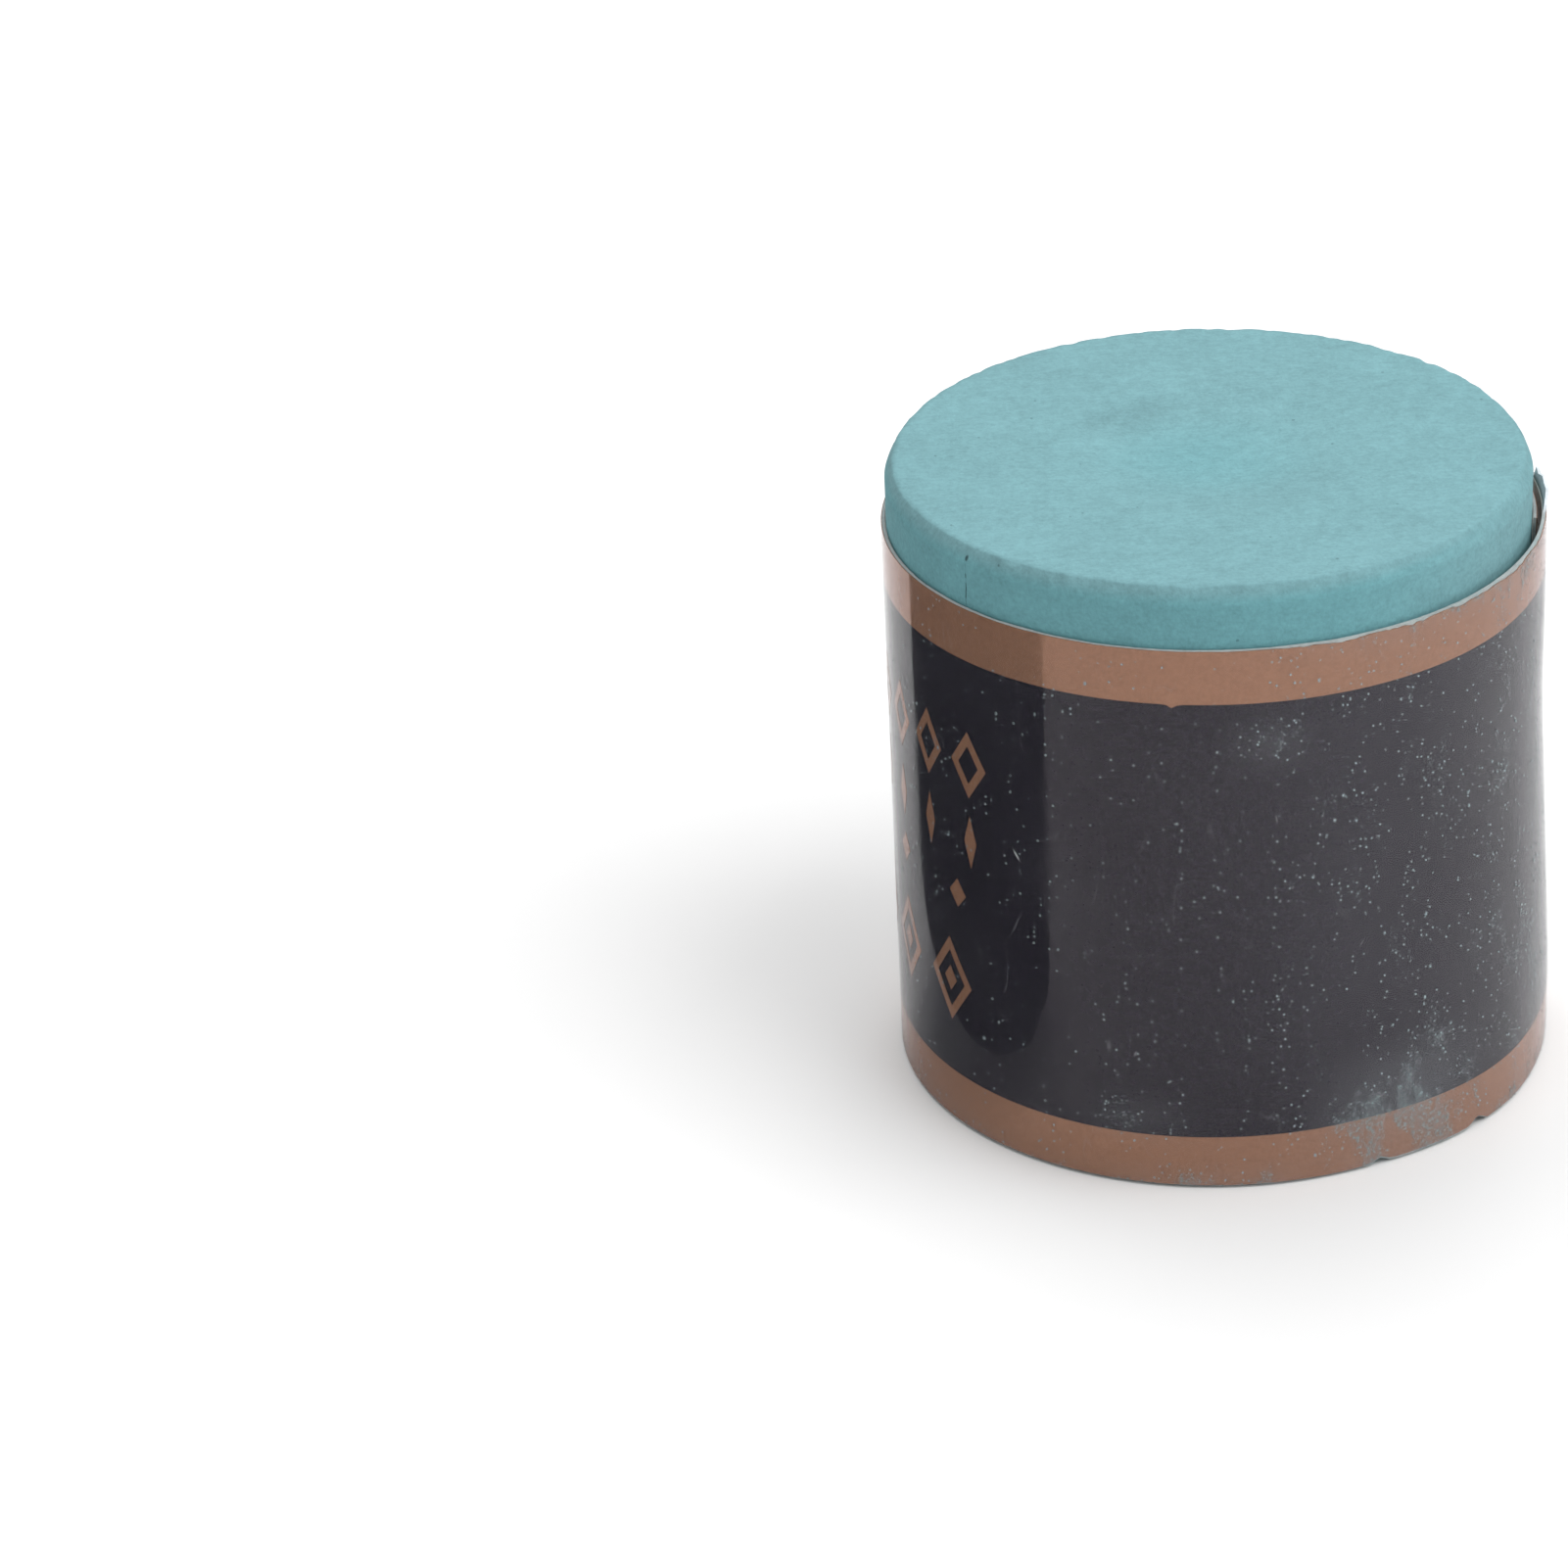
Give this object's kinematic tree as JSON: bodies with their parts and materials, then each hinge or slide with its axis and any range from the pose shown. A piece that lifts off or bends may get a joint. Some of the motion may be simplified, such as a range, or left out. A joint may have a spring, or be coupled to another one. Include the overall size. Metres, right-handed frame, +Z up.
{
  "type": "cue chalk",
  "caption": "Round block of pressed cue chalk with a shallow dished working face, wrapped in a black and copper printed paper label under clear film.",
  "frame": {"origin": "centre of the block's foot, on the surface that it stands on", "axes": "+Z up the block's axis through the working face; -Y through the middle of the printed motif; +X to the right of the motif; the label's lap is at the back, near +Y"},
  "size_m": [0.0224, 0.0227, 0.0225],
  "materials": {
    "chalk": "fine matte pressed powder, grey-teal",
    "glue": "thin dried label glue",
    "label_stock": "uncoated white paper, dusty at its torn edges",
    "black_print": "solid black print",
    "copper_print": "dull copper-brown print",
    "film": "clear gloss film with chalk dust and fine scratches"
  },
  "bodies": {
    "root": {"chalk_block": "chalk", "adhesive_coat": "glue", "label_paper": "label_stock", "black_field": "black_print", "upper_band": "copper_print", "lower_band": "copper_print", "printed_motif": "copper_print", "clear_film": "film"}
  },
  "joints": []
}
